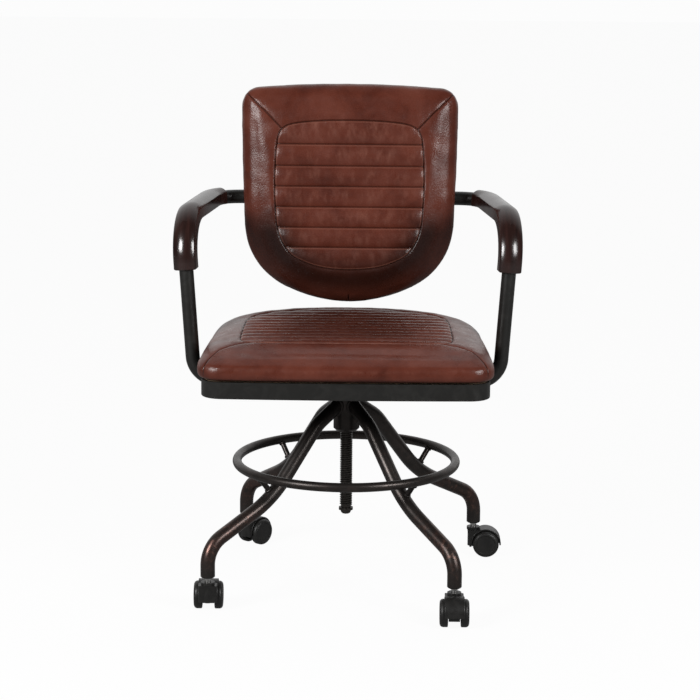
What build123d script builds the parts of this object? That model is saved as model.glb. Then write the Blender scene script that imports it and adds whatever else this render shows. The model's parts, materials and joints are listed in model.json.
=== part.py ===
from build123d import *
from dataclasses import dataclass, fields
from math import cos, pi, radians, sin, tan
import os

# Swivel desk chair. A padded seat and back on a bent tube arm frame turn on a screw spindle, which
# raises them, over a four-legged tube base with a foot ring and twin-wheel castors.
# Millimetres, +Z up. The origin is on the floor under the spindle, and the sitter faces -Y.

# Running and loose fits
shaft_clearance = 0.05
loose_clearance = 0.3
thread_clearance = 0.35

# Bent tube of the legs and the arms
tube_radius = 12.5
tube_wall = 1.5

# Legs, in the upright plane of each leg: distances from the spindle axis, heights, rises and drops
base_turn = -6.3
leg_foot_out = 300.0
leg_knee_rise = 51.0
leg_waist_out = 163.0
leg_waist_height = 180.0
leg_shoulder_out = 66.0
leg_shoulder_drop = 42.0
leg_head_drop = 33.0
leg_shoulder_bend = 80.0
leg_waist_bend = 200.0
leg_knee_bend = 50.0

# Foot ring and the struts that hold it off the legs
ring_bar_radius = 8.0
ring_height = 224.0
ring_outside_legs = 66.4786
strut_radius = 4.8

# Seat seen from above: reach ahead of the spindle and behind it, half widths where the straight sides end,
# how far the ends bow out between them, corner radii, and how far the sewn panel lies in from the edges
seat_front = 242.0
seat_rear = 220.0
seat_front_half = 255.0
seat_rear_half = 236.0
seat_front_bow = 6.0
seat_rear_bow = 124.0
seat_front_corner = 45.0
seat_rear_corner = 150.0
seat_panel_front_in = 90.0
seat_panel_rear_in = 31.0
seat_panel_front_side_in = 74.0
seat_panel_rear_side_in = 58.0
seat_panel_front_bow = 3.0
seat_panel_rear_bow = 60.0
seat_panel_front_corner = 30.0
seat_panel_rear_corner = 90.0
seat_padding = 54.0
seat_gap = 1.5
seat_draw = 9.0
seat_channels = 12

# Seat pan and the boards of the seat and the back
pan_bottom = 384.0
pan_height = 29.0
pan_wall = 2.5
pan_edge_radius = 2.0
pan_inset = 9.0
board_thickness = 10.0
board_inset = 14.0

# Seat plate, spindle and hub
plate_size = 150.0
plate_thickness = 6.0
plate_corner = 15.0
collar_radius = 17.0
collar_height = 5.7
hub_radius = 23.0
hub_length = 92.0
hub_chamfer = 4.0
nut_radius = 16.0
thread_pitch = 4.0
thread_core_radius = 9.0
thread_crest_radius = 11.0
thread_root_half = 1.6
thread_crest_half = 0.6
thread_run_turns = 14
thread_end_turns = 1
lift_travel = 140.0
lift_margin = 1.0
spigot_radius = 7.0
washer_radius = 12.5
washer_thickness = 4.4
end_screw_head_radius = 9.0
end_screw_head_height = 7.0
end_screw_dome = 5.0
end_screw_radius = 4.0
end_screw_length = 20.0

# Bolts, spacers and tee nuts
bolt_radius = 4.0
bolt_head_radius = 7.0
bolt_head_height = 5.0
seat_bolt_spacing = 110.0
spacer_radius = 8.0
tee_nut_radius = 5.5
tee_flange_radius = 10.0
tee_flange_thickness = 1.5

# Arm frame: one bent tube a side, from under the pan to the middle of the rail behind the back
arm_across = -12.0
arm_foot_inner = 100.0
arm_splay = 19.5
arm_toe_in = 41.0
arm_rise = 243.0
arm_foot_bend = 44.0
arm_front_bend = 75.0
arm_back_bend = 58.0
rail_behind = 32.0
rail_joiner_length = 90.0
arm_bolt_reach = 13.0
arm_bolt_inner = 135.0
arm_bolt_outer = 205.0

# Wooden arm pads, domed on top and grooved underneath for the tube
pad_width = 40.0
pad_above = 18.0
pad_shoulder = 10.5
pad_below = 11.0
pad_drop = 89.0
pad_back_share = 0.5
pad_top_round = 5.0
pad_bottom_round = 2.5
pad_end_chamfer = 1.5
pad_groove_clearance = 0.1
pad_screw_radius = 2.5
pad_screw_head_radius = 4.5
pad_screw_head_height = 2.5
pad_screw_bite = 4.0
pad_screw_reach = 8.0
pad_screw_share = 0.72
plug_margin = 0.5
plug_sink = 0.4

# Back seen from the front, measured up from its foot, as the seat is: half widths, bows, corners and panel
back_length = 390.0
back_foot_half = 189.0
back_top_half = 197.0
back_foot_bow = 81.0
back_top_bow = 8.0
back_foot_corner = 130.0
back_top_corner = 36.0
back_panel_foot_in = 56.0
back_panel_top_in = 64.0
back_panel_foot_side_in = 58.0
back_panel_top_side_in = 65.0
back_panel_foot_bow = 43.0
back_panel_top_bow = 9.0
back_panel_foot_corner = 100.0
back_panel_top_corner = 32.0
back_padding = 49.0
back_draw = 8.0
back_channels = 7

# How the back stands: over the seat, leaning, with a board and a covered rear panel bolted through saddles
back_foot_gap = 7.2
back_tilt = 8.0
back_cover_thickness = 7.0
back_cover_inset = 8.0
back_cover_round = 3.0
back_board_inset = 12.0
saddle_thickness = 4.5
saddle_width = 30.0
saddle_height = 20.0
back_bolt_spacing = 180.0

# Sewn panels of the cushions: sunk, with puffed channels across
panel_margin = 6.0
panel_depth = 4.0
panel_seam = 3.0
channel_valley = 0.6
channel_crown = 4.2

# Cushion sides, as shares of the padding's height: how far they are drawn in below the crown, and how far
# they have come to the panel over the crown
side_profile = [(0.0, 1.0), (0.05, 0.5), (0.145, 0.14), (0.31, 0.0), (0.48, 0.09), (0.62, 0.4)]
crown_profile = [(0.725, 0.09), (0.82, 0.2), (0.893, 0.36), (0.946, 0.56), (0.982, 0.78), (1.0, 1.0)]

# Castors
castor_trail = 23.0
wheel_radius = 24.0
wheel_inner = 11.0
wheel_width = 14.0
wheel_hub_radius = 7.0
wheel_rim = 5.0
wheel_web = 5.5
wheel_cap = 3.0
wheel_edge = 6.0
wheel_inner_edge = 1.2
wheel_face_radius = 16.5
wheel_dish = 0.8
column_gap = 0.8
web_gap = 1.5
axle_radius = 3.0
axle_end_gap = 0.5
hood_gap = 1.5
hood_wall = 2.5
hood_half_width = 17.0
hood_end_height = 22.0
hood_edge_radius = 1.0
web_low_radius = 15.0
nose_top_out = 11.0
nose_low_out = 7.0
nose_bottom = 18.0
nose_round = 3.0
castor_collar_gap = 1.0
castor_collar_radius = 12.0
castor_collar_height = 5.0
stem_radius = 5.5
stem_grip = 21.0
stem_neck_height = 5.9
stem_shoulder_radius = 8.0
stem_shoulder_height = 1.8
socket_flange = 2.0
socket_chamfer = 1.5

# Corner names, leg directions and the way each castor trails, in degrees from +X
corners = {
    "front_left": (225.0 + base_turn, 90.0),
    "front_right": (315.0 + base_turn, -90.0),
    "back_right": (45.0 + base_turn, 0.0),
    "back_left": (135.0 + base_turn, 50.0),
}

# Sizes that follow from those above
tube_bore = tube_radius - tube_wall
pan_top = pan_bottom + pan_height
board_top = pan_top + board_thickness
seat_top = pan_top + seat_padding
plate_bottom = pan_bottom - plate_thickness
hub_top = plate_bottom - collar_height - loose_clearance
hub_bottom = hub_top - hub_length
thread_bottom = hub_bottom - lift_travel - lift_margin
spigot_bottom = thread_bottom - washer_thickness - 2 * loose_clearance
castor_collar_bottom = 2 * wheel_radius + castor_collar_gap
castor_collar_top = castor_collar_bottom + castor_collar_height
stem_bottom = castor_collar_top - stem_grip
stem_shoulder_bottom = castor_collar_top + loose_clearance + stem_neck_height
socket_bottom = stem_shoulder_bottom + stem_shoulder_height
leg_foot_height = socket_bottom + socket_flange
leg_knee_height = leg_foot_height + leg_knee_rise
leg_head_height = hub_top - leg_head_drop
leg_shoulder_height = leg_head_height - leg_shoulder_drop
leg_spread = (leg_waist_out - leg_shoulder_out) / (leg_shoulder_height - leg_waist_height)
leg_out_at_ring = leg_waist_out - (ring_height - leg_waist_height) * leg_spread
ring_radius = leg_out_at_ring + ring_outside_legs
wheel_outer = wheel_inner + wheel_width
wheel_web_inside = wheel_outer - wheel_web
wheel_bore_end = wheel_outer - wheel_cap
wheel_rim_inside = wheel_radius - wheel_rim
axle_half_length = wheel_bore_end - axle_end_gap
hood_inner_radius = wheel_radius + hood_gap
hood_outer_radius = hood_inner_radius + hood_wall
hood_middle_radius = hood_inner_radius + hood_wall / 2
nose_half_width = hood_half_width - hood_edge_radius
web_half_width = wheel_inner - web_gap
column_radius = wheel_inner - column_gap
arm_foot_height = pan_bottom - tube_radius - loose_clearance
arm_foot_out = seat_front_half + tube_radius
arm_front_out = arm_foot_out + arm_splay
arm_back_out = arm_front_out - arm_toe_in
arm_height = pan_top + arm_rise
rail_back = seat_rear + rail_behind
pad_groove_radius = tube_radius + pad_groove_clearance
pad_low_height = arm_height - pad_drop
plug_radius = pad_screw_head_radius + plug_margin
plug_top = pad_above - tube_radius - plug_sink
back_foot_height = seat_top + back_foot_gap


@dataclass
class Outline:
    """A padded shape seen square on: two straight sides between bowed ends, with rounded corners."""

    low: float
    high: float
    low_half: float
    high_half: float
    low_bow: float
    high_bow: float
    low_corner: float
    high_corner: float

    def inset(self, depth):
        """The same shape, drawn in all round."""
        return Outline(
            self.low + depth,
            self.high - depth,
            self.low_half - depth,
            self.high_half - depth,
            self.low_bow,
            self.high_bow,
            self.low_corner - depth,
            self.high_corner - depth,
        )

    def towards(self, other, share):
        """A shape part of the way from this one to another."""
        mixed = []
        for item in fields(self):
            here = getattr(self, item.name)
            there = getattr(other, item.name)
            mixed.append(here + (there - here) * share)
        return Outline(*mixed)


# The low end is the seat's front and the back's foot
seat_outline = Outline(
    -seat_front,
    seat_rear,
    seat_front_half,
    seat_rear_half,
    seat_front_bow,
    seat_rear_bow,
    seat_front_corner,
    seat_rear_corner,
)
seat_panel = Outline(
    seat_panel_front_in - seat_front,
    seat_rear - seat_panel_rear_in,
    seat_front_half - seat_panel_front_side_in,
    seat_rear_half - seat_panel_rear_side_in,
    seat_panel_front_bow,
    seat_panel_rear_bow,
    seat_panel_front_corner,
    seat_panel_rear_corner,
)
back_outline = Outline(
    0.0,
    back_length,
    back_foot_half,
    back_top_half,
    back_foot_bow,
    back_top_bow,
    back_foot_corner,
    back_top_corner,
)
back_panel = Outline(
    back_panel_foot_in,
    back_length - back_panel_top_in,
    back_foot_half - back_panel_foot_side_in,
    back_top_half - back_panel_top_side_in,
    back_panel_foot_bow,
    back_panel_top_bow,
    back_panel_foot_corner,
    back_panel_top_corner,
)


def write(piece, node):
    """Label a finished piece and write its file."""
    piece.label = node
    export_step(piece, f"parts/{node}.step")


def bend_points(before, corner, after, radius, share=1.0):
    """Start, middle and end of the arc that rounds a corner; a share under 1 stops part of the way round."""
    back = (before - corner).normalized()
    ahead = (after - corner).normalized()
    half_angle = radians(back.get_angle(ahead)) / 2
    start = corner + back * (radius / tan(half_angle))
    centre = corner + (back + ahead).normalized() * (radius / sin(half_angle))
    outward = (start - centre).normalized()
    turn = (pi - 2 * half_angle) * share

    def at(angle):
        return centre + outward * (radius * cos(angle)) - back * (radius * sin(angle))

    return start, at(turn / 2), at(turn)


def bent_path(points, bends, last_share=1.0):
    """A centre line of straight runs and round bends; a last share under 1 ends it inside the last bend."""
    with BuildLine() as line:
        place = points[0]
        for index, radius in enumerate(bends):
            share = last_share if index == len(bends) - 1 else 1.0
            start, middle, end = bend_points(*points[index:index + 3], radius, share)
            Line(place, start)
            ThreePointArc(start, middle, end)
            place = end
        if last_share == 1.0:
            Line(place, points[-1])
    return line.wire()


def bent_tube(path, bore=0.0):
    """A round bar along a path, or a tube where it has a bore."""
    with BuildPart() as bar:
        with BuildSketch(Plane(origin=path @ 0, z_dir=path % 0)):
            Circle(tube_radius)
            if bore:
                Circle(bore, mode=Mode.SUBTRACT)
        sweep(path=path)
    return bar.part


def outline_face(outline):
    """An outline as a flat face."""
    low_left = (-outline.low_half, outline.low + outline.low_bow)
    low_right = (outline.low_half, outline.low + outline.low_bow)
    high_left = (-outline.high_half, outline.high - outline.high_bow)
    high_right = (outline.high_half, outline.high - outline.high_bow)
    with BuildSketch() as face:
        with BuildLine():
            ThreePointArc(low_left, (0, outline.low), low_right)
            Line(low_right, high_right)
            ThreePointArc(high_right, (0, outline.high), high_left)
            Line(high_left, low_left)
        make_face()
        fillet(face.vertices().group_by(Axis.Y)[-1], outline.high_corner)
        fillet(face.vertices().group_by(Axis.Y)[0], outline.low_corner)
    return face.sketch


def sewn_channels(plane, panel, count, floor):
    """Puffed channels side by side across a panel, standing on a floor above the plane."""
    pitch = (panel.high - panel.low) / count
    valley = floor + channel_valley
    crown = valley + channel_crown
    with BuildPart() as channels:
        with BuildSketch(Plane(origin=plane.origin, x_dir=plane.y_dir, z_dir=plane.x_dir)):
            with BuildLine():
                for index in range(count):
                    start = panel.low + index * pitch
                    ThreePointArc((start, valley), (start + pitch / 2, crown), (start + pitch, valley))
                Polyline((panel.high, valley), (panel.high, floor), (panel.low, floor), (panel.low, valley))
            make_face()
        extrude(amount=panel.low_half + panel.high_half, both=True)
        with BuildSketch(plane.offset(floor)):
            add(outline_face(panel.inset(panel_seam)))
        extrude(amount=2 * (crown - floor), mode=Mode.INTERSECT)
    return channels.part


def padded_shape(plane, outline, panel, foot, top, draw, channel_count, board):
    """A cushion with drawn-in sides, a crown and a channelled panel, hollowed underneath for its board."""
    shoulder = panel.inset(-panel_margin)
    sides = [(share, outline.inset(draw * inward)) for share, inward in side_profile]
    rim = sides[-1][1]
    crown = [(share, rim.towards(shoulder, progress)) for share, progress in crown_profile]
    levels = [(foot + (top - foot) * share, section) for share, section in sides + crown]
    with BuildPart() as cushion:
        for height, section in levels:
            with BuildSketch(plane.offset(height)):
                add(outline_face(section))
        loft(ruled=True)
        with BuildSketch(plane.offset(top - panel_depth)):
            add(outline_face(panel))
        extrude(amount=2 * panel_depth, mode=Mode.SUBTRACT)
        add(sewn_channels(plane, panel, channel_count, top - panel_depth))
        with BuildSketch(plane):
            add(outline_face(board.inset(-loose_clearance)))
        extrude(amount=board_thickness + loose_clearance, mode=Mode.SUBTRACT)
    return cushion.part


def drilled_board(plane, outline, places):
    """A plywood board with a stepped hole for a tee nut at each place."""
    with BuildPart() as board:
        with BuildSketch(plane):
            add(outline_face(outline))
        extrude(amount=board_thickness)
        with BuildSketch(plane):
            with Locations(*places):
                Circle(tee_nut_radius)
        extrude(amount=board_thickness, mode=Mode.SUBTRACT)
        with BuildSketch(plane.offset(board_thickness - tee_flange_thickness)):
            with Locations(*places):
                Circle(tee_flange_radius)
        extrude(amount=tee_flange_thickness, mode=Mode.SUBTRACT)
    return board.part


def tee_nuts(plane, places):
    """Flanged nuts set flush into the far face of a board."""
    with BuildPart() as nuts:
        with BuildSketch(plane):
            with Locations(*places):
                Circle(tee_nut_radius)
        extrude(amount=board_thickness)
        with BuildSketch(plane.offset(board_thickness - tee_flange_thickness)):
            with Locations(*places):
                Circle(tee_flange_radius)
        extrude(amount=tee_flange_thickness)
        with BuildSketch(plane):
            with Locations(*places):
                Circle(bolt_radius)
        extrude(amount=board_thickness, mode=Mode.SUBTRACT)
    return nuts.part


def bolts(plane, places, length):
    """Round-headed bolts whose heads sit behind a plane and whose shanks run ahead of it."""
    with BuildPart() as group:
        with BuildSketch(plane):
            with Locations(*places):
                Circle(bolt_radius)
        extrude(amount=length)
        with BuildSketch(plane):
            with Locations(*places):
                Circle(bolt_head_radius)
        extrude(amount=-bolt_head_height)
    return group.part


os.makedirs("parts", exist_ok=True)

# Hub and the threaded bush inside it
with BuildPart() as hub:
    with BuildSketch(Plane.XY.offset(hub_bottom)):
        Circle(hub_radius)
    extrude(amount=hub_length)
    chamfer(hub.edges().filter_by(GeomType.CIRCLE).sort_by(Axis.Z)[0], hub_chamfer)
    with BuildSketch(Plane.XY.offset(hub_bottom)):
        Circle(nut_radius)
    extrude(amount=hub_length, mode=Mode.SUBTRACT)
write(hub.part, "hub")

with BuildPart() as hub_nut:
    with BuildSketch(Plane.XY.offset(hub_bottom)):
        Circle(nut_radius)
        Circle(thread_crest_radius + thread_clearance, mode=Mode.SUBTRACT)
    extrude(amount=hub_length)
write(hub_nut.part, "hub_nut")

# Legs, coped to the hub, with the plastic sockets and the castor stems in their lower ends
leg_points = [
    Vector(0, 0, leg_head_height),
    Vector(leg_shoulder_out, 0, leg_shoulder_height),
    Vector(leg_waist_out, 0, leg_waist_height),
    Vector(leg_foot_out, 0, leg_knee_height),
    Vector(leg_foot_out, 0, leg_foot_height),
]
leg_path = bent_path(leg_points, [leg_shoulder_bend, leg_waist_bend, leg_knee_bend])
knee_end = bend_points(*leg_points[2:], leg_knee_bend)[2]
socket_depth = knee_end.Z - leg_foot_height

with BuildPart() as leg:
    add(bent_tube(leg_path, tube_bore))
    with BuildSketch(Plane.XY.offset(hub_bottom)):
        Circle(hub_radius)
    extrude(amount=hub_length, mode=Mode.SUBTRACT)

for corner, (leg_direction, trail_direction) in corners.items():
    with BuildPart() as placed_leg:
        with Locations(Location((0, 0, 0), (0, 0, leg_direction))):
            add(leg.part)
    write(placed_leg.part, f"leg_{corner}")

foot_places = PolarLocations(leg_foot_out, len(corners), start_angle=corners["back_right"][0])

with BuildPart() as stem_sockets:
    with BuildSketch(Plane.XY.offset(leg_foot_height)):
        with foot_places:
            Circle(tube_bore - shaft_clearance)
    extrude(amount=socket_depth)
    with BuildSketch(Plane.XY.offset(leg_foot_height)):
        with foot_places:
            Circle(tube_radius)
    extrude(amount=-socket_flange)
    chamfer(stem_sockets.faces().group_by(Axis.Z)[0].edges(), socket_chamfer)
    with BuildSketch(Plane.XY.offset(socket_bottom)):
        with foot_places:
            Circle(stem_radius)
    extrude(amount=socket_depth + socket_flange, mode=Mode.SUBTRACT)
write(stem_sockets.part, "stem_sockets")

with BuildPart() as castor_stems:
    with BuildSketch(Plane.XY.offset(stem_bottom)):
        with foot_places:
            Circle(stem_radius)
    extrude(amount=leg_foot_height + socket_depth - stem_bottom)
    with BuildSketch(Plane.XY.offset(stem_shoulder_bottom)):
        with foot_places:
            Circle(stem_shoulder_radius)
    extrude(amount=stem_shoulder_height)
write(castor_stems.part, "castor_stems")

# Foot ring, and a strut square to each leg that holds it
with BuildPart() as foot_ring:
    with BuildSketch(Plane.XZ):
        with Locations((ring_radius, ring_height)):
            Circle(ring_bar_radius)
    revolve(axis=Axis.Z)
write(foot_ring.part, "foot_ring")

ring_section = Vector(ring_radius, 0, ring_height)
strut_length, strut_foot, strut_head = leg_path.distance_to_with_closest_points(ring_section)
with BuildPart() as strut:
    with BuildSketch(Plane(origin=strut_foot, z_dir=strut_head - strut_foot)):
        Circle(strut_radius)
    extrude(amount=strut_length)
    add(bent_tube(leg_path), mode=Mode.SUBTRACT)
    add(foot_ring.part, mode=Mode.SUBTRACT)

with BuildPart() as ring_struts:
    with PolarLocations(0, len(corners), start_angle=corners["back_right"][0]):
        add(strut.part)
write(ring_struts.part, "ring_struts")

# Castors: hood, nose, web and stem column in one moulding, an axle pressed through the web, and two wheels
axle_plane = Plane(origin=(castor_trail, 0, wheel_radius), x_dir=(0, 1, 0), z_dir=(1, 0, 0))

with BuildPart() as castor_nose:
    with BuildSketch(Plane.XZ):
        with BuildLine():
            Polyline(
                (-nose_top_out, castor_collar_bottom),
                (-nose_low_out, nose_bottom),
                (castor_trail, nose_bottom),
                (castor_trail, castor_collar_bottom),
                close=True,
            )
        make_face()
    extrude(amount=nose_half_width, both=True)
    nose_face = castor_nose.faces().sort_by(Axis.X)[0]
    fillet(nose_face.edges().filter_by(Axis.Y, reverse=True), nose_round)
    with BuildSketch(Plane.XZ):
        with Locations((castor_trail, wheel_radius)):
            Circle(hood_middle_radius)
    extrude(amount=hood_half_width, both=True, mode=Mode.SUBTRACT)

with BuildPart() as castor_housing:
    with BuildSketch(Plane.XZ):
        with Locations((castor_trail, wheel_radius)):
            Circle(hood_outer_radius)
            Circle(hood_inner_radius, mode=Mode.SUBTRACT)
        with Locations((castor_trail, hood_end_height)):
            Rectangle(
                3 * hood_outer_radius,
                2 * hood_outer_radius,
                align=(Align.CENTER, Align.MAX),
                mode=Mode.SUBTRACT,
            )
    extrude(amount=hood_half_width, both=True)
    fillet(castor_housing.edges().filter_by(GeomType.CIRCLE).sort_by(SortBy.RADIUS)[-2:], hood_edge_radius)
    with BuildSketch(Plane.XZ):
        with Locations((castor_trail, wheel_radius)):
            Circle(hood_middle_radius)
        with Locations((castor_trail, wheel_radius)):
            Rectangle(
                3 * hood_outer_radius,
                2 * hood_outer_radius,
                align=(Align.CENTER, Align.MAX),
                mode=Mode.SUBTRACT,
            )
        with Locations((castor_trail, wheel_radius)):
            Circle(web_low_radius)
            Circle(axle_radius, mode=Mode.SUBTRACT)
    extrude(amount=web_half_width, both=True)
    add(castor_nose.part)
    with BuildSketch(Plane.XY.offset(nose_bottom)):
        Circle(column_radius)
    extrude(amount=castor_collar_top - nose_bottom)
    with BuildSketch(Plane.XY.offset(castor_collar_bottom)):
        Circle(castor_collar_radius)
    extrude(amount=castor_collar_top - castor_collar_bottom)
    with BuildSketch(Plane.XY.offset(stem_bottom - loose_clearance)):
        Circle(stem_radius + shaft_clearance)
    extrude(amount=castor_collar_top - stem_bottom + loose_clearance, mode=Mode.SUBTRACT)

with BuildPart() as castor_axle:
    with BuildSketch(Plane.XZ):
        with Locations((castor_trail, wheel_radius)):
            Circle(axle_radius)
    extrude(amount=axle_half_length, both=True)

wheel_bore = axle_radius + shaft_clearance
with BuildPart() as castor_wheel_a:
    with BuildSketch(axle_plane) as wheel_section:
        with BuildLine():
            Polyline(
                (wheel_inner, wheel_bore),
                (wheel_inner, wheel_hub_radius),
                (wheel_web_inside, wheel_hub_radius),
                (wheel_web_inside, wheel_rim_inside),
                (wheel_inner, wheel_rim_inside),
                (wheel_inner, wheel_radius - wheel_inner_edge),
                (wheel_inner + wheel_inner_edge, wheel_radius),
                (wheel_outer, wheel_radius),
                (wheel_outer, wheel_face_radius + wheel_dish),
                (wheel_outer - wheel_dish, wheel_face_radius),
                (wheel_outer - wheel_dish, 0),
                (wheel_bore_end, 0),
                (wheel_bore_end, wheel_bore),
                close=True,
            )
        make_face()
        fillet(wheel_section.vertices().sort_by_distance((wheel_outer, wheel_radius, 0))[0], wheel_edge)
    revolve(axis=Axis(axle_plane.origin, axle_plane.x_dir))

with BuildPart() as castor_wheel_b:
    mirror(castor_wheel_a.part, about=Plane.XZ)

castor_pieces = {
    "housing": castor_housing.part,
    "axle": castor_axle.part,
    "wheel_a": castor_wheel_a.part,
    "wheel_b": castor_wheel_b.part,
}
for corner, (leg_direction, trail_direction) in corners.items():
    foot = Vector(leg_foot_out, 0, 0).rotate(Axis.Z, leg_direction)
    for piece_name, pattern in castor_pieces.items():
        with BuildPart() as castor_piece:
            with Locations(Location((foot.X, foot.Y, 0), (0, 0, trail_direction))):
                add(pattern)
        write(castor_piece.part, f"castor_{corner}_{piece_name}")

# Spindle: a screw thread under a collar, with a spigot at its foot for the stop washer
thread_turns = int((hub_top - thread_bottom) / thread_pitch) - 2 * thread_end_turns
with BuildPart() as spindle:
    with BuildSketch(Plane.XY.offset(thread_bottom)):
        Circle(thread_core_radius)
    extrude(amount=pan_bottom - thread_bottom)
    with BuildLine() as thread_line:
        for first_turn in range(0, thread_turns, thread_run_turns):
            run_turns = min(thread_run_turns, thread_turns - first_turn)
            Helix(
                pitch=thread_pitch,
                height=run_turns * thread_pitch,
                radius=thread_core_radius,
                center=(0, 0, thread_bottom + (first_turn + thread_end_turns) * thread_pitch),
            )
    thread_path = thread_line.wire()
    thread_depth = thread_crest_radius - thread_core_radius
    with BuildSketch(Plane(origin=thread_path @ 0, x_dir=(1, 0, 0), z_dir=thread_path % 0)):
        with BuildLine():
            Polyline(
                (-loose_clearance, -thread_root_half),
                (thread_depth, -thread_crest_half),
                (thread_depth, thread_crest_half),
                (-loose_clearance, thread_root_half),
                close=True,
            )
        make_face()
    sweep(path=thread_path, is_frenet=True)
    with BuildSketch(Plane.XY.offset(plate_bottom)):
        Circle(collar_radius)
    extrude(amount=-collar_height)
    with BuildSketch(Plane.XY.offset(spigot_bottom)):
        Circle(spigot_radius)
    extrude(amount=thread_bottom - spigot_bottom)
    with BuildSketch(Plane.XY.offset(spigot_bottom)):
        Circle(end_screw_radius)
    extrude(amount=end_screw_length, mode=Mode.SUBTRACT)
write(spindle.part, "spindle")

with BuildPart() as stop_washer:
    with BuildSketch(Plane.XY.offset(spigot_bottom + loose_clearance)):
        Circle(washer_radius)
        Circle(spigot_radius + shaft_clearance, mode=Mode.SUBTRACT)
    extrude(amount=washer_thickness)
write(stop_washer.part, "stop_washer")

with BuildPart() as end_screw:
    with BuildSketch(Plane.XY.offset(spigot_bottom)):
        Circle(end_screw_head_radius)
    extrude(amount=-end_screw_head_height)
    fillet(end_screw.edges().sort_by(Axis.Z)[0], end_screw_dome)
    with BuildSketch(Plane.XY.offset(spigot_bottom)):
        Circle(end_screw_radius)
    extrude(amount=end_screw_length)
write(end_screw.part, "end_screw")

# Seat plate, pan, board and what bolts them together
half_spacing = seat_bolt_spacing / 2
seat_bolt_places = [(x, y) for x in (-half_spacing, half_spacing) for y in (-half_spacing, half_spacing)]
arm_bolt_spots = [(side * out, arm_across) for side in (-1, 1) for out in (arm_bolt_inner, arm_bolt_outer)]
seat_board_outline = seat_outline.inset(board_inset)

with BuildPart() as seat_plate:
    with BuildSketch(Plane.XY.offset(plate_bottom)):
        RectangleRounded(plate_size, plate_size, plate_corner)
        Circle(thread_core_radius, mode=Mode.SUBTRACT)
        with Locations(*seat_bolt_places):
            Circle(bolt_radius, mode=Mode.SUBTRACT)
    extrude(amount=plate_thickness)
write(seat_plate.part, "seat_plate")

with BuildPart() as seat_pan:
    with BuildSketch(Plane.XY.offset(pan_bottom)):
        add(outline_face(seat_outline.inset(pan_inset)))
    extrude(amount=pan_height)
    fillet(seat_pan.faces().sort_by(Axis.Z)[0].edges(), pan_edge_radius)
    with BuildSketch(Plane.XY.offset(pan_bottom + pan_wall)):
        add(outline_face(seat_outline.inset(pan_inset + pan_wall)))
    extrude(amount=pan_height, mode=Mode.SUBTRACT)
    with BuildSketch(Plane.XY.offset(pan_bottom)):
        with Locations(*seat_bolt_places, *arm_bolt_spots):
            Circle(bolt_radius)
    extrude(amount=pan_wall, mode=Mode.SUBTRACT)
write(seat_pan.part, "seat_pan")

with BuildPart() as seat_spacers:
    with BuildSketch(Plane.XY.offset(pan_bottom + pan_wall)):
        with Locations(*seat_bolt_places):
            Circle(spacer_radius)
            Circle(bolt_radius, mode=Mode.SUBTRACT)
    extrude(amount=pan_height - pan_wall)
write(seat_spacers.part, "seat_spacers")

board_plane = Plane.XY.offset(pan_top)
write(drilled_board(board_plane, seat_board_outline, seat_bolt_places), "seat_board")
write(tee_nuts(board_plane, seat_bolt_places), "seat_tee_nuts")
write(bolts(Plane.XY.offset(plate_bottom), seat_bolt_places, board_top - plate_bottom), "seat_bolts")
seat_cushion = padded_shape(
    board_plane,
    seat_outline,
    seat_panel,
    seat_gap,
    seat_padding,
    seat_draw,
    seat_channels,
    seat_board_outline,
)
write(seat_cushion, "seat_cushion")

# Arm frame. The left tube is drawn and the right one mirrored, and they meet behind the back.
arm_points = [
    Vector(-arm_foot_inner, arm_across, arm_foot_height),
    Vector(-arm_foot_out, arm_across, arm_foot_height),
    Vector(-arm_front_out, arm_across, arm_height),
    Vector(-arm_back_out, rail_back, arm_height),
    Vector(0, rail_back, arm_height),
]
arm_path = bent_path(arm_points, [arm_foot_bend, arm_front_bend, arm_back_bend])
arm_foot_corner, arm_front_corner, arm_back_corner, rail_middle = arm_points[1:]
upright = (arm_front_corner - arm_foot_corner).normalized()
arm_run = (arm_back_corner - arm_front_corner).normalized()
front_start, front_middle, front_end = bend_points(
    arm_foot_corner, arm_front_corner, arm_back_corner, arm_front_bend
)
back_start = bend_points(arm_front_corner, arm_back_corner, rail_middle, arm_back_bend)[0]
pad_screw_spot = front_end + (back_start - front_end) * pad_screw_share
pad_screw_plane = Plane(
    origin=(pad_screw_spot.X, pad_screw_spot.Y, arm_height - tube_radius), z_dir=(0, 0, 1)
)
bend_outward = (upright - arm_run).normalized()
plug_plane = Plane(origin=front_middle + bend_outward * tube_radius, z_dir=bend_outward)

# The back is drawn up from its foot, on its board's rear face, and bolted where the rail crosses it
tilt_cos = cos(radians(back_tilt))
tilt_sin = sin(radians(back_tilt))
back_normal = Vector(0, -tilt_cos, tilt_sin)
back_up = Vector(0, tilt_sin, tilt_cos)
rail_to_board = tube_radius + saddle_thickness + back_cover_thickness
rail_on_back = (arm_height + rail_to_board * tilt_sin - back_foot_height) / tilt_cos
back_foot = rail_middle + back_normal * rail_to_board - back_up * rail_on_back
back_plane = Plane(origin=back_foot, x_dir=(1, 0, 0), z_dir=back_normal)
back_bolt_places = [(side * back_bolt_spacing / 2, rail_on_back) for side in (-1, 1)]
rail_rear = -rail_to_board - tube_radius

with BuildPart() as arm_tube_left:
    add(bent_tube(arm_path, tube_bore))
    with BuildSketch(Plane.XY.offset(arm_foot_height)):
        with Locations(*arm_bolt_spots):
            Circle(bolt_radius)
    extrude(amount=pan_bottom - arm_foot_height, mode=Mode.SUBTRACT)
    with BuildSketch(back_plane):
        with Locations(*back_bolt_places):
            Circle(bolt_radius)
    extrude(amount=rail_rear, mode=Mode.SUBTRACT)
    with BuildSketch(pad_screw_plane):
        Circle(pad_screw_radius)
    extrude(amount=2 * tube_radius, mode=Mode.SUBTRACT)
    with BuildSketch(plug_plane):
        Circle(pad_screw_radius)
    extrude(amount=-tube_radius, mode=Mode.SUBTRACT)
write(arm_tube_left.part, "arm_tube_left")

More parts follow.
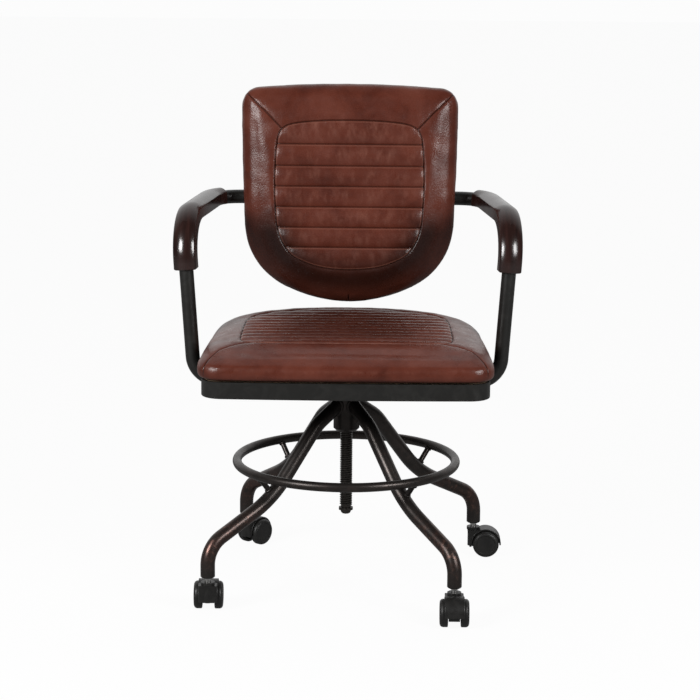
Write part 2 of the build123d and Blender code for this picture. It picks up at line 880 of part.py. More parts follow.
with BuildPart() as arm_tube_right:
    mirror(arm_tube_left.part, about=Plane.YZ)
write(arm_tube_right.part, "arm_tube_right")

with BuildPart() as rail_joiner:
    with BuildSketch(Plane.YZ):
        with Locations((rail_back, arm_height)):
            Circle(tube_bore - shaft_clearance)
    extrude(amount=rail_joiner_length / 2, both=True)
write(rail_joiner.part, "rail_joiner")

# Bolts that drop through the pan into the arm tubes
pan_floor_down = Plane(origin=(0, 0, pan_bottom + pan_wall), x_dir=(1, 0, 0), z_dir=(0, 0, -1))
arm_bolt_places_down = [(x, -y) for x, y in arm_bolt_spots]
write(bolts(pan_floor_down, arm_bolt_places_down, arm_bolt_reach), "arm_bolts")

# Arm pads: a grooved section swept from the upright over the front bend and into the back bend
pad_low_share = (pad_low_height - arm_foot_height) / (arm_height - arm_foot_height)
pad_low_end = arm_foot_corner + (arm_front_corner - arm_foot_corner) * pad_low_share
pad_path = bent_path(
    [pad_low_end, arm_front_corner, arm_back_corner, rail_middle],
    [arm_front_bend, arm_back_bend],
    pad_back_share,
)
forward = (upright * arm_run.dot(upright) - arm_run).normalized()
pad_half = pad_width / 2
pad_plane = Plane(origin=pad_low_end, x_dir=forward.cross(upright), z_dir=upright)

with BuildPart() as arm_pad_left:
    with BuildSketch(pad_plane) as pad_section:
        with BuildLine():
            ThreePointArc((-pad_half, pad_shoulder), (0, pad_above), (pad_half, pad_shoulder))
            Polyline(
                (pad_half, pad_shoulder),
                (pad_half, -pad_below),
                (-pad_half, -pad_below),
                (-pad_half, pad_shoulder),
            )
        make_face()
        fillet(pad_section.vertices().group_by(Axis.Y)[-1], pad_top_round)
        fillet(pad_section.vertices().group_by(Axis.Y)[0], pad_bottom_round)
        Circle(pad_groove_radius, mode=Mode.SUBTRACT)
        Rectangle(
            2 * pad_groove_radius,
            2 * pad_below,
            align=(Align.CENTER, Align.MAX),
            mode=Mode.SUBTRACT,
        )
    sweep(path=pad_path)
    for path_end in (pad_path @ 0, pad_path @ 1):
        flat_faces = arm_pad_left.faces().filter_by(GeomType.PLANE)
        end_face = flat_faces.sort_by(lambda face: (face.center() - path_end).length)[0]
        rim_reach = pad_groove_radius + pad_end_chamfer
        rim = end_face.edges().filter_by(lambda edge: (edge.center() - path_end).length > rim_reach)
        chamfer(rim, pad_end_chamfer)
    with BuildSketch(plug_plane.offset(-tube_radius)):
        Circle(plug_radius)
    extrude(amount=2 * pad_above, mode=Mode.SUBTRACT)
    with BuildSketch(pad_screw_plane):
        Circle(pad_screw_radius)
    extrude(amount=2 * tube_radius + pad_screw_bite, mode=Mode.SUBTRACT)
write(arm_pad_left.part, "arm_pad_left")

with BuildPart() as arm_pad_right:
    mirror(arm_pad_left.part, about=Plane.YZ)
write(arm_pad_right.part, "arm_pad_right")

# A screw from below holds each pad near its back, and one under a wooden plug holds it at the front bend
with BuildPart() as left_pad_screws:
    with BuildSketch(pad_screw_plane):
        Circle(pad_screw_radius)
    extrude(amount=2 * tube_radius + pad_screw_bite)
    with BuildSketch(pad_screw_plane):
        Circle(pad_screw_head_radius)
    extrude(amount=-pad_screw_head_height)
    with BuildSketch(plug_plane):
        Circle(pad_screw_radius)
    extrude(amount=-pad_screw_reach)
    with BuildSketch(plug_plane):
        Circle(pad_screw_head_radius)
    extrude(amount=pad_screw_head_height)

with BuildPart() as pad_screws:
    add(left_pad_screws.part)
    mirror(about=Plane.YZ)
write(pad_screws.part, "pad_screws")

with BuildPart() as pad_plugs:
    with BuildSketch(plug_plane.offset(pad_screw_head_height)):
        Circle(plug_radius)
    extrude(amount=plug_top - pad_screw_head_height)
    mirror(about=Plane.YZ)
write(pad_plugs.part, "pad_plugs")

# Back: board, cushion, rear cover, and the saddles and bolts that hold it on the rail
back_board_outline = back_outline.inset(back_board_inset)
write(drilled_board(back_plane, back_board_outline, back_bolt_places), "back_board")
write(tee_nuts(back_plane, back_bolt_places), "back_tee_nuts")
write(bolts(back_plane.offset(rail_rear), back_bolt_places, board_thickness - rail_rear), "back_bolts")
back_cushion = padded_shape(
    back_plane,
    back_outline,
    back_panel,
    0.0,
    back_padding,
    back_draw,
    back_channels,
    back_board_outline,
)
write(back_cushion, "back_cushion")

cover_plane = back_plane.offset(-back_cover_thickness)
with BuildPart() as back_cover:
    with BuildSketch(cover_plane):
        add(outline_face(back_outline.inset(back_cover_inset)))
    extrude(amount=back_cover_thickness)
    rear_face = back_cover.faces().sort_by(Axis(back_plane.origin, back_plane.z_dir))[0]
    fillet(rear_face.edges(), back_cover_round)
    with BuildSketch(cover_plane):
        with Locations(*back_bolt_places):
            Circle(bolt_radius)
    extrude(amount=back_cover_thickness, mode=Mode.SUBTRACT)
write(back_cover.part, "back_cover")

with BuildPart() as back_saddles:
    with BuildSketch(cover_plane):
        with Locations(*back_bolt_places):
            Rectangle(saddle_width, saddle_height)
            Circle(bolt_radius, mode=Mode.SUBTRACT)
    extrude(amount=-saddle_thickness - tube_radius)
    with BuildSketch(Plane.YZ):
        with Locations((rail_back, arm_height)):
            Circle(tube_radius)
    extrude(amount=back_bolt_spacing, both=True, mode=Mode.SUBTRACT)
write(back_saddles.part, "back_saddles")
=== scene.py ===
import json
import math

import bmesh
import bpy
import numpy as np
from mathutils import Matrix, Quaternion, Vector, kdtree, noise


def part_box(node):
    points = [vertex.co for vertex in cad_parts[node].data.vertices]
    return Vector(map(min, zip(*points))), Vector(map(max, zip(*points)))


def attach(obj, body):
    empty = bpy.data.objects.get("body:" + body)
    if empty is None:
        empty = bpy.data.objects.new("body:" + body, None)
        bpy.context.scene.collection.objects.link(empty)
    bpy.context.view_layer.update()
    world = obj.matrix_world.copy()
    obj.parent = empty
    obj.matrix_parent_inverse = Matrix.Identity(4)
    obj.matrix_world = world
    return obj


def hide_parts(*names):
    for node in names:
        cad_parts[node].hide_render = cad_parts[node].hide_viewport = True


# A vintage desk chair in a plain white studio. Metres, +Z up, the sitter faces -Y.
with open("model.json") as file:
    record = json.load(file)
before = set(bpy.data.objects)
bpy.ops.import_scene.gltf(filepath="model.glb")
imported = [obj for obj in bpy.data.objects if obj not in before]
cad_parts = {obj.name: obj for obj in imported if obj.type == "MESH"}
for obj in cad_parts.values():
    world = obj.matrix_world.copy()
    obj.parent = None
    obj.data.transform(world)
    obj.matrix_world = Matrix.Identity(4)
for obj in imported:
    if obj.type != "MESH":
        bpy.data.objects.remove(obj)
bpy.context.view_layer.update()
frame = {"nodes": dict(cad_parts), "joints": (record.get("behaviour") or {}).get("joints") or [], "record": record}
nodes = frame["nodes"]
scene = bpy.context.scene

# Camera, fitted to the photograph
CAMERA_TARGET = Vector((0.0052, 0.0, 0.4232))
CAMERA_DISTANCE = 4.740
CAMERA_ELEVATION = math.radians(11.75)
CAMERA_ROLL = math.radians(0.45)
CAMERA_YAW = math.radians(0.5)
CAMERA_LENS = 138.86

# Studio: the floor, the room that shiny pieces mirror, and the lamps
FLOOR_SIZE = 24.0
FLOOR_COLOUR = (0.18, 0.18, 0.18, 1.0)
FLOOR_SHADE = (0.80, 0.80, 0.80, 1.0)
FLOOR_GLOW = 0.95
FLOOR_SHINE = 0.15
FLOOR_ROUGHNESS = 0.9
WHITE = (1.0, 1.0, 1.0, 1.0)
BACKGROUND = (0.975, 0.975, 0.975, 1.0)
ROOM_FRONT = (0.05, 0.05, 0.05, 1.0)
ROOM_BACK = (0.82, 0.82, 0.82, 1.0)
ROOM_TURN = (0.0, 0.95, 0.31)
ROOM_DIM = 0.25
ROOM_BRIGHT = 0.85
LAMP_AIM = Vector((0.0, 0.0, 0.5))
LAMP_SIZE = (1.0, 1.1)
LAMPS = {
    "lamp_left": {"place": Vector((-2.05, -2.0, 1.75)), "watts": 76.0},
    "lamp_right": {"place": Vector((2.05, -2.0, 1.75)), "watts": 56.0},
}

# Leather
LEATHER_DARK = (0.070, 0.0146, 0.0080, 1.0)
LEATHER_MIDDLE = (0.108, 0.0255, 0.0148, 1.0)
LEATHER_LIGHT = (0.150, 0.0410, 0.0255, 1.0)
# Dark seam lines, partly painted shade in their grooves
LEATHER_SEAM_AND_SHADE = (0.018, 0.005, 0.003, 1.0)
# Painted shade on the seat's rear and along the back's lower edge
LEATHER_PAINTED_SHADE = (0.021, 0.0056, 0.0034, 1.0)
# Rubbed crowns, and painted highlights on the lips, the shoulders beside the seams and a band outside the panel
LEATHER_RUBBED_AND_HIGHLIGHT = (0.22, 0.085, 0.060, 1.0)
LEATHER_GLOSS = 0.36
# How strongly the painted highlight on the lips shows
LIP_HIGHLIGHT_SHARE = 0.55
GRAIN_SHIFT = (0.0012, 0.0012, 0.0012)

# Wood of the arm pads and of the boards
PAD_DARK = (0.0105, 0.0042, 0.0033, 1.0)
PAD_MIDDLE = (0.0225, 0.0085, 0.0068, 1.0)
PAD_LIGHT = (0.0430, 0.0165, 0.0135, 1.0)
PAD_GLOSS = 0.75
PLY_DARK = (0.10, 0.063, 0.036, 1.0)
PLY_LIGHT = (0.19, 0.125, 0.075, 1.0)
PLY_ROUGHNESS = 0.72

# Metal and plastic, with the heights between which the legs are rubbed to copper
FRAME_BLACK = (0.0105, 0.0100, 0.0090, 1.0)
FRAME_SCUFF = (0.022, 0.021, 0.019, 1.0)
BRONZE_DARK = (0.0340, 0.0300, 0.0278, 1.0)
BRONZE_MIDDLE = (0.0580, 0.0500, 0.0460, 1.0)
BRONZE_METALLIC = 0.7
COPPER_DARK = (0.078, 0.036, 0.028, 1.0)
COPPER_LIGHT = (0.24, 0.128, 0.100, 1.0)
KNEE_LOW = 0.070
KNEE_MIDDLE = 0.122
KNEE_HIGH = 0.180
SPINDLE_DARK = (0.040, 0.0365, 0.0335, 1.0)
SPINDLE_LIGHT = (0.120, 0.110, 0.101, 1.0)
PLATED_DARK = (0.36, 0.355, 0.345, 1.0)
PLATED_LIGHT = (0.58, 0.575, 0.56, 1.0)
PLASTIC_BLACK = (0.0095, 0.0090, 0.0085, 1.0)
PLASTIC_GREY = (0.0180, 0.0170, 0.0160, 1.0)

# Shader nodes: the usual range of a noise value, and the mix node's sockets for colours
NOISE_LOW = 0.3
NOISE_HIGH = 0.7
MIX_FACTOR = 0
MIX_ONE = 6
MIX_OTHER = 7
MIX_RESULT = 2

# Cushions: the mesh and how it is blown up
VOXEL = 0.005
WELD_GAP = 1e-6
SMOOTH_SHARE = 0.5
SMOOTH_ROUNDS = 4
PANEL_RECESS = 0.006
PANEL_MARGIN = 0.008
LINING_DEPTH = 0.007
PIN_REACH = 0.0035
PRESSURE = 4.0
TAUTNESS = 0.01
STIFFNESS = 4.0
CLOTH_QUALITY = 6
SIM_FRAMES = 20
SIDE_SWELL = 0.4
EVEN_ROUNDS = 12
NEARLY_ZERO = 1e-12
FAR = 1.0

# Cushions: seams, channels and wrinkles
FRONT_FACING = 0.2
FRONT_GAIN = 1.5
FINE_REACHES = (0.0085, 0.0034)
SEAM_HALF = 0.0011
SEAM_DEPTH = 0.0013
SEAM_ROLL = 0.0026
SEAM_ROLL_REACH = 0.0060
SIDE_SEAM = 0.15
CHANNEL_SHARE = 0.115
CHANNEL_LINE = 0.0007
PUCKER = 0.00055
PUCKER_REACH = 0.011
PUCKER_STRETCH = (1.0, 0.25, 0.6)
PUCKER_SCALE = 105.0
WRINKLE = 0.0005
WRINKLE_SCALE = 42.0

# Cushions: where and how much the leather is darkened along its seams, partly as painted shade, rubbed on its
# crowns, and lightened as painted highlights beside the seams and in a band outside the panel
# Dark seam and channel lines, partly painted shade in their grooves
SEAM_MARK = 0.85
CHANNEL_MARK = 0.7
PANEL_CROWN = 0.8
# Shoulders beside the seams: rubbed, and lightened as a painted highlight
ROLL_RUB_AND_HIGHLIGHT = 0.4
# Painted highlight: a pale band outside the panel where the surface faces between camera and lamps
HIGHLIGHT_BAND_SHARE = 0.55
HIGHLIGHT_BAND_FACING = 0.35
HIGHLIGHT_BAND_HALF = 0.16
# Painted highlight: a pale line on the lip just beside each seam
LIP_HIGHLIGHT_GAP = 0.0024
LIP_HIGHLIGHT_HALF = 0.0010

# Seat cushion, measured from the top of the pan: its panel's right half from the front, and its seams
SEAT_PANEL = [
    (0.0, -0.152), (0.090, -0.152), (0.150, -0.150), (0.174, -0.140), (0.182, -0.112), (0.182, -0.050),
    (0.181, 0.020), (0.178, 0.075), (0.166, 0.113), (0.138, 0.146), (0.095, 0.170), (0.048, 0.184),
    (0.0, 0.189),
]
SEAT_CORNER_SEAM = [(0.160, -0.150), (0.190, -0.160), (0.215, -0.182), (0.232, -0.212), (0.262, -0.262)]
SEAT_CHANNELS = 12
SEAT_CAP = 0.003
SETTLE_DEPTH = 0.0055
SETTLE_FRONT = -0.12
SETTLE_RUN = 0.30
ROLL_DROP = 0.009
ROLL_START = -0.145
ROLL_RUN = 0.10
# Painted shade: the seat darkened towards its rear middle, where the back shades it
SEAT_SHADE_SHARE = 0.55
SEAT_SHADE_HALF = 0.17
SEAT_SHADE_RUN = 0.10
SEAT_SHADE_FRONT = -0.17

# Back cushion, measured from the rail: its panel's right half from the foot, its seams, channels and edge
BACK_TILT = math.radians(8.0)
BACK_STANDOFF = 0.024
BACK_PANEL = [
    (0.0, -0.131), (0.042, -0.128), (0.075, -0.1196), (0.108, -0.1016), (0.127, -0.068), (0.133, -0.030),
    (0.135, 0.030), (0.1325, 0.088), (0.128, 0.113), (0.119, 0.1255), (0.100, 0.133), (0.055, 0.1378),
    (0.0, 0.139),
]
BACK_MITRE_SEAM = [(0.122, 0.123), (0.150, 0.152), (0.183, 0.184), (0.220, 0.222)]
BACK_FOOT_SEAM = [(0.0, -0.178), (0.0, -0.230)]
BACK_CHANNELS = [0.096, 0.057, 0.020, -0.017, -0.054, -0.090]
BACK_CAP = 0.004
BACK_EDGE = [
    (0.0, -0.194), (0.060, -0.188), (0.110, -0.167), (0.150, -0.135), (0.178, -0.090), (0.189, -0.040),
    (0.192, 0.040), (0.196, 0.120), (0.197, 0.175), (0.160, 0.195), (0.080, 0.198), (0.0, 0.199),
]
BACK_STRETCH = (1.006, 1.018, 1.0)
CURL_TOP = 0.01
CURL_RUN = 0.11
CURL_REACH = 0.095
CURL_DEPTH = 0.020
# Painted shade: a dark band along the back's lower edge, where it turns away from the light
BACK_SHADE_INWARD = 0.045
BACK_SHADE_HALF = 0.036
BACK_SHADE_MIDDLE_HALF = 0.075
BACK_SHADE_TOP = -0.008
BACK_SHADE_RUN = 0.06

# Rear panel of the back: how far it swells, and where the saddles press it in
REAR_VOXEL = 0.0035
REAR_CROWN = 0.0035
REAR_EDGE = 0.045
REAR_EDGE_FACING = 0.5
REAR_PRESS_NEAR = 0.022
REAR_PRESS_FAR = 0.060
REAR_WRINKLE_SCALE = 34.0

# Weld beads where the legs meet the hub and the struts meet the legs and the ring
LEG_HEAD_HEIGHT = 0.339
LEG_SHOULDER_OUT = 0.066
LEG_SHOULDER_HEIGHT = 0.297
TUBE_RADIUS = 0.0125
STRUT_RADIUS = 0.0048
STRUT_SECTOR_COSINE = 0.9
HUB_BEAD = 0.0026
HUB_BEAD_STEPS = 72
STRUT_BEAD = 0.0019
STRUT_BEAD_STEPS = 36
BEAD_SIDES = 10
BEAD_LUMP = 0.30
BEAD_LUMP_SCALE = 420.0


# Shader nodes
def connect(tree, socket, value):
    """Link a node's output to a socket, or set the socket's own value."""
    if isinstance(value, bpy.types.NodeSocket):
        tree.links.new(value, socket)
    else:
        socket.default_value = value


def add_node(tree, kind, inputs=None, **settings):
    """A shader node with its settings and inputs."""
    made = tree.nodes.new(kind)
    for name, value in settings.items():
        setattr(made, name, value)
    for name, value in (inputs or {}).items():
        connect(tree, made.inputs[name], value)
    return made


def new_material(name):
    """A node material, its tree and its shader."""
    made = bpy.data.materials.new(name)
    made.use_nodes = True
    return made, made.node_tree, made.node_tree.nodes["Principled BSDF"]


def placed(tree, stretch=(1.0, 1.0, 1.0)):
    """The object's own coordinates, each axis times its stretch."""
    source = add_node(tree, "ShaderNodeTexCoord").outputs["Object"]
    mapping = add_node(tree, "ShaderNodeMapping", {"Vector": source, "Scale": stretch})
    return mapping.outputs["Vector"]


def cloudy(tree, place, scale, detail=4.0, roughness=0.55, distortion=0.0):
    """A noise value."""
    inputs = {
        "Vector": place, "Scale": scale, "Detail": detail, "Roughness": roughness, "Distortion": distortion,
    }
    return add_node(tree, "ShaderNodeTexNoise", inputs).outputs["Fac"]


def ramp(tree, factor, stops):
    """A colour ramp of positions and colours."""
    made = add_node(tree, "ShaderNodeValToRGB", {"Fac": factor})
    elements = made.color_ramp.elements
    while len(elements) < len(stops):
        elements.new(0.5)
    for element, (position, colour) in zip(elements, stops):
        element.position = position
        element.color = colour
    return made.outputs["Color"]


def spread(tree, value, low, high, to_low, to_high):
    """A value moved from one range to another."""
    inputs = {"Value": value, "From Min": low, "From Max": high, "To Min": to_low, "To Max": to_high}
    return add_node(tree, "ShaderNodeMapRange", inputs).outputs["Result"]


def calculate(tree, operation, one, other):
    """The result of an operation on two values."""
    return add_node(tree, "ShaderNodeMath", {0: one, 1: other}, operation=operation).outputs["Value"]


def multiply(tree, one, other):
    """The product of two values."""
    return calculate(tree, "MULTIPLY", one, other)


def mix_colours(tree, factor, one, other):
    """One colour going over into another."""
    inputs = {MIX_FACTOR: factor, MIX_ONE: one, MIX_OTHER: other}
    return add_node(tree, "ShaderNodeMix", inputs, data_type="RGBA").outputs[MIX_RESULT]


def stored(tree, name):
    """A value stored on the mesh's points."""
    return add_node(tree, "ShaderNodeAttribute", attribute_name=name).outputs["Fac"]


def vary_roughness(tree, shader, value, at_low, at_high):
    """Roughness that follows a noise value through its usual range."""
    varied = spread(tree, value, low=NOISE_LOW, high=NOISE_HIGH, to_low=at_low, to_high=at_high)
    connect(tree, shader.inputs["Roughness"], varied)


def bumps(tree, shader, layers):
    """Bumps laid one on another, each with its height, strength and depth."""
    normal = None
    for layer in layers:
        made = add_node(tree, "ShaderNodeBump", layer)
        if normal:
            connect(tree, made.inputs["Normal"], normal)
        normal = made.outputs["Normal"]
    connect(tree, shader.inputs["Normal"], normal)


# Materials
def leather(name):
    """Mottled brown leather with a fine grain, rubbed crowns, dark seams partly painted as shade, painted
    highlights on the lips and shoulders beside them and in a band outside the panel, and painted shade.
    """
    made, tree, shader = new_material(name)
    place = placed(tree)
    mottle = cloudy(tree, place, scale=14.0, detail=6.0, roughness=0.62, distortion=0.4)
    smudges = cloudy(tree, placed(tree, (2.2, 1.0, 1.0)), scale=34.0, detail=5.0, roughness=0.6)
    # Smudges that break up the rubbed crowns and the painted highlights stored with them
    lightened = spread(tree, smudges, low=0.47, high=0.76, to_low=0.0, to_high=0.70)
    rubbed_and_highlight = multiply(tree, lightened, stored(tree, "rub_and_highlight"))
    # Painted highlights on the lips beside the seams
    lip_highlights = multiply(tree, stored(tree, "lip_highlight"), LIP_HIGHLIGHT_SHARE)
    colour = ramp(tree, mottle, [(0.30, LEATHER_DARK), (0.50, LEATHER_MIDDLE), (0.76, LEATHER_LIGHT)])
    colour = mix_colours(tree, rubbed_and_highlight, colour, LEATHER_RUBBED_AND_HIGHLIGHT)
    # Painted shade
    colour = mix_colours(tree, stored(tree, "painted_shade"), colour, LEATHER_PAINTED_SHADE)
    colour = mix_colours(tree, lip_highlights, colour, LEATHER_RUBBED_AND_HIGHLIGHT)
    # Dark seam lines, partly painted shade
    colour = mix_colours(tree, stored(tree, "seam"), colour, LEATHER_SEAM_AND_SHADE)
    connect(tree, shader.inputs["Base Color"], colour)
    shader.inputs["Specular IOR Level"].default_value = LEATHER_GLOSS
    sheen = cloudy(tree, place, scale=55.0, detail=4.0, roughness=0.6)
    vary_roughness(tree, shader, sheen, at_low=0.25, at_high=0.37)

    warped = add_node(tree, "ShaderNodeTexNoise", {"Vector": place, "Scale": 240.0, "Detail": 2.0})
    shift = {0: warped.outputs["Color"], 1: GRAIN_SHIFT, 2: place}
    shifted = add_node(tree, "ShaderNodeVectorMath", shift, operation="MULTIPLY_ADD").outputs["Vector"]
    pebbles = add_node(tree, "ShaderNodeTexVoronoi", {"Vector": shifted, "Scale": 430.0})
    cracks = add_node(
        tree, "ShaderNodeTexVoronoi", {"Vector": shifted, "Scale": 260.0}, feature="DISTANCE_TO_EDGE",
    )
    crackle = spread(tree, cracks.outputs["Distance"], low=0.0, high=0.35, to_low=0.0, to_high=1.0)
    creases = cloudy(tree, place, scale=110.0, detail=4.0, roughness=0.50, distortion=0.2)
    bumps(tree, shader, [
        {"Height": creases, "Strength": 0.30, "Distance": 0.0010},
        {"Height": crackle, "Strength": 0.10, "Distance": 0.0003},
        {"Height": pebbles.outputs["Distance"], "Strength": 0.36, "Distance": 0.0004},
    ])
    return made


def pad_wood(name):
    """Dark lacquered wood with a faint grain along the pad."""
    made, tree, shader = new_material(name)
    along = placed(tree, (1.0, 0.07, 0.07))
    grain = cloudy(tree, along, scale=150.0, detail=6.0, roughness=0.6, distortion=0.6)
    patches = cloudy(tree, placed(tree), scale=22.0, detail=4.0, roughness=0.6)
    lightened = spread(tree, patches, low=0.54, high=0.80, to_low=0.0, to_high=0.4)
    colour = ramp(tree, grain, [(0.32, PAD_DARK), (0.54, PAD_MIDDLE), (0.84, PAD_LIGHT)])
    connect(tree, shader.inputs["Base Color"], mix_colours(tree, lightened, colour, PAD_LIGHT))
    shader.inputs["Specular IOR Level"].default_value = PAD_GLOSS
    vary_roughness(tree, shader, patches, at_low=0.16, at_high=0.24)
    bumps(tree, shader, [
        {"Height": patches, "Strength": 0.20, "Distance": 0.0012},
        {"Height": grain, "Strength": 0.10, "Distance": 0.0003},
    ])
    return made


def plywood(name):
    """Pale plywood with its layers in the edge."""
    made, tree, shader = new_material(name)
    sheets = placed(tree, (0.05, 0.05, 1.0))
    layers = cloudy(tree, sheets, scale=560.0, detail=3.0, roughness=0.6, distortion=0.3)
    connect(tree, shader.inputs["Base Color"], ramp(tree, layers, [(0.34, PLY_DARK), (0.66, PLY_LIGHT)]))
    shader.inputs["Roughness"].default_value = PLY_ROUGHNESS
    bumps(tree, shader, [{"Height": layers, "Strength": 0.3, "Distance": 0.0005}])
    return made


def coated_steel(name):
    """Black satin coating with a faint orange peel and a few scuffs."""
    made, tree, shader = new_material(name)
    place = placed(tree)
    scuffs = cloudy(tree, place, scale=30.0, detail=8.0, roughness=0.7, distortion=1.2)
    colour = ramp(tree, scuffs, [(0.48, FRAME_BLACK), (0.78, FRAME_SCUFF)])
    connect(tree, shader.inputs["Base Color"], colour)
    vary_roughness(tree, shader, scuffs, at_low=0.30, at_high=0.42)
    peel = cloudy(tree, place, scale=620.0, detail=2.0)
    bumps(tree, shader, [{"Height": peel, "Strength": 0.16, "Distance": 0.0003}])
    return made


def rubbed_steel(name):
    """Dark bronzed steel, rubbed to copper about the knees of the legs."""
    made, tree, shader = new_material(name)
    place = placed(tree)
    patches = cloudy(tree, place, scale=26.0, detail=8.0, roughness=0.68, distortion=0.9)
    specks = cloudy(tree, place, scale=140.0, detail=5.0, roughness=0.65)
    height = add_node(tree, "ShaderNodeSeparateXYZ", {"Vector": place}).outputs["Z"]
    rising = spread(tree, height, low=KNEE_LOW, high=KNEE_MIDDLE, to_low=0.0, to_high=1.0)
    falling = spread(tree, height, low=KNEE_MIDDLE, high=KNEE_HIGH, to_low=1.0, to_high=0.06)
    knee = multiply(tree, rising, falling)
    bare = spread(tree, patches, low=0.42, high=0.66, to_low=0.15, to_high=1.0)
    flecks = spread(tree, specks, low=0.52, high=0.72, to_low=0.0, to_high=0.75)
    fleck_reach = spread(tree, knee, low=0.0, high=1.0, to_low=0.04, to_high=1.0)
    colour = ramp(tree, patches, [(0.40, BRONZE_DARK), (0.70, BRONZE_MIDDLE)])
    colour = mix_colours(tree, multiply(tree, bare, knee), colour, COPPER_DARK)
    colour = mix_colours(tree, multiply(tree, flecks, fleck_reach), colour, COPPER_LIGHT)
    connect(tree, shader.inputs["Base Color"], colour)
    shader.inputs["Metallic"].default_value = BRONZE_METALLIC
    vary_roughness(tree, shader, patches, at_low=0.40, at_high=0.30)
    bumps(tree, shader, [{"Height": specks, "Strength": 0.10, "Distance": 0.0004}])
    return made


def plain_steel(name, dark, light, roughness, stretch=(1.0, 1.0, 1.0)):
    """Plated or turned steel with fine marks, which a stretch lays one way."""
    made, tree, shader = new_material(name)
    marks = cloudy(tree, placed(tree, stretch), scale=260.0, detail=5.0, roughness=0.6)
    connect(tree, shader.inputs["Base Color"], ramp(tree, marks, [(0.34, dark), (0.68, light)]))
    shader.inputs["Metallic"].default_value = 1.0
    vary_roughness(tree, shader, marks, *roughness)
    bumps(tree, shader, [{"Height": marks, "Strength": 0.12, "Distance": 0.0003}])
    return made


def moulded_plastic(name, roughness, grain):
    """Black moulded plastic with a spark-eroded grain."""
    made, tree, shader = new_material(name)
    place = placed(tree)
    haze = cloudy(tree, place, scale=60.0, detail=5.0, roughness=0.6)
    colour = ramp(tree, haze, [(0.40, PLASTIC_BLACK), (0.78, PLASTIC_GREY)])
    connect(tree, shader.inputs["Base Color"], colour)
    vary_roughness(tree, shader, haze, *roughness)
    sparks = cloudy(tree, place, scale=1100.0, detail=2.0)
    bumps(tree, shader, [{"Height": sparks, "Strength": grain, "Distance": 0.0002}])
    return made


MATERIALS = {
    "upholstery": leather("upholstery_leather"),
    "arm_wood": pad_wood("arm_pad_wood"),
    "frame_steel": coated_steel("frame_black_steel"),
    "base_steel": rubbed_steel("base_rubbed_steel"),
    "spindle_steel": plain_steel(
        "spindle_dark_steel", SPINDLE_DARK, SPINDLE_LIGHT, roughness=(0.34, 0.46), stretch=(1.0, 1.0, 6.0),
    ),
    "bright_steel": plain_steel("plated_steel", PLATED_DARK, PLATED_LIGHT, roughness=(0.28, 0.40)),
    "castor_plastic": moulded_plastic("castor_black_plastic", roughness=(0.34, 0.44), grain=0.16),
    "castor_wheel": moulded_plastic("castor_wheel_plastic", roughness=(0.40, 0.50), grain=0.22),
    "plywood": plywood("board_plywood"),
}


def paint(piece, slot):
    """Give a piece the one material of a slot."""
    piece.data.materials.clear()
    piece.data.materials.append(MATERIALS[slot])


def dress_nodes():
    """The finish of every node, also of those that padded pieces replace."""
    for part in frame["record"]["subparts"]:
        paint(nodes[part["node"]], part["material_slot"])


# Curves, lines and meshes
def ease(values):
    """A share from 0 to 1 that starts and ends softly."""
    share = np.clip(values, 0.0, 1.0)
    return share * share * (3.0 - 2.0 * share)


def bell(gap, half):
    """A share that is 1 where the gap is nothing and falls off softly, to about a third at the half width."""
    return np.exp(-(gap / half) ** 2)


def cloud(points, scale):
    """Smooth noise at each point, from about -1 to 1."""
    return np.array([noise.noise(Vector(point) * scale) for point in points])


def turns(steps):
    """The angles of even steps round a circle."""
    return [2 * math.pi * step / steps for step in range(steps)]


def smooth_loop(points, steps=10):
    """A closed smooth line through a right half's points and their mirror."""
    right = [np.array(point) for point in points]
    left = [np.array((-x, y)) for x, y in reversed(points[1:-1])]
    loop = right + left
    count = len(loop)
    line = []
    for index in range(count):
        before, start, end, after = (loop[(index + shift) % count] for shift in (-1, 0, 1, 2))
        for step in range(steps):
            share = step / steps
            line.append(
                0.5 * (2 * start + (end - before) * share
                       + (2 * before - 5 * start + 4 * end - after) * share ** 2
                       + (3 * start - before - 3 * end + after) * share ** 3)
            )
    line.append(line[0])
    return np.array(line)


def both_sides(line):
    """A seam and its mirror image."""
    right = np.array(line)
    return [right, right * np.array((-1.0, 1.0))]


def distance_to(points, line):
    """The distance of each point from a line."""
    best = np.full(len(points), np.inf)
    for start, end in zip(line[:-1], line[1:]):
        run = end - start
        along = np.clip((points - start) @ run / max(run @ run, NEARLY_ZERO), 0.0, 1.0)
        gap = np.linalg.norm(points - start - along[:, None] * run, axis=1)
        best = np.minimum(best, gap)
    return best


def is_inside(points, loop):
    """Which points lie inside a closed line."""
    inside = np.zeros(len(points), bool)
    for (x0, y0), (x1, y1) in zip(loop[:-1], loop[1:]):
        if y0 == y1:
            continue
        spans = (points[:, 1] >= min(y0, y1)) & (points[:, 1] < max(y0, y1))
        crossing = x0 + (points[:, 1] - y0) * (x1 - x0) / (y1 - y0)
        inside ^= spans & (points[:, 0] < crossing)
    return inside


def mesh_points(mesh):
    """The mesh's points as an array."""
    flat = np.empty(len(mesh.vertices) * 3)
    mesh.vertices.foreach_get("co", flat)
    return flat.reshape(-1, 3)


def mesh_normals(mesh):
    """The mesh's point normals as an array."""
    flat = np.empty(len(mesh.vertices) * 3, np.float32)
    mesh.vertex_normals.foreach_get("vector", flat)
    return flat.reshape(-1, 3).astype(float)


def set_points(mesh, points):
    """Put the mesh's points where the array says."""
    mesh.vertices.foreach_set("co", points.reshape(-1))
    mesh.update()


def store(mesh, name, values):
    """Keep a value for each point on the mesh."""
    layer = mesh.attributes.new(name, "FLOAT", "POINT")
    layer.data.foreach_set("value", np.clip(values, 0.0, 1.0).astype(np.float32))


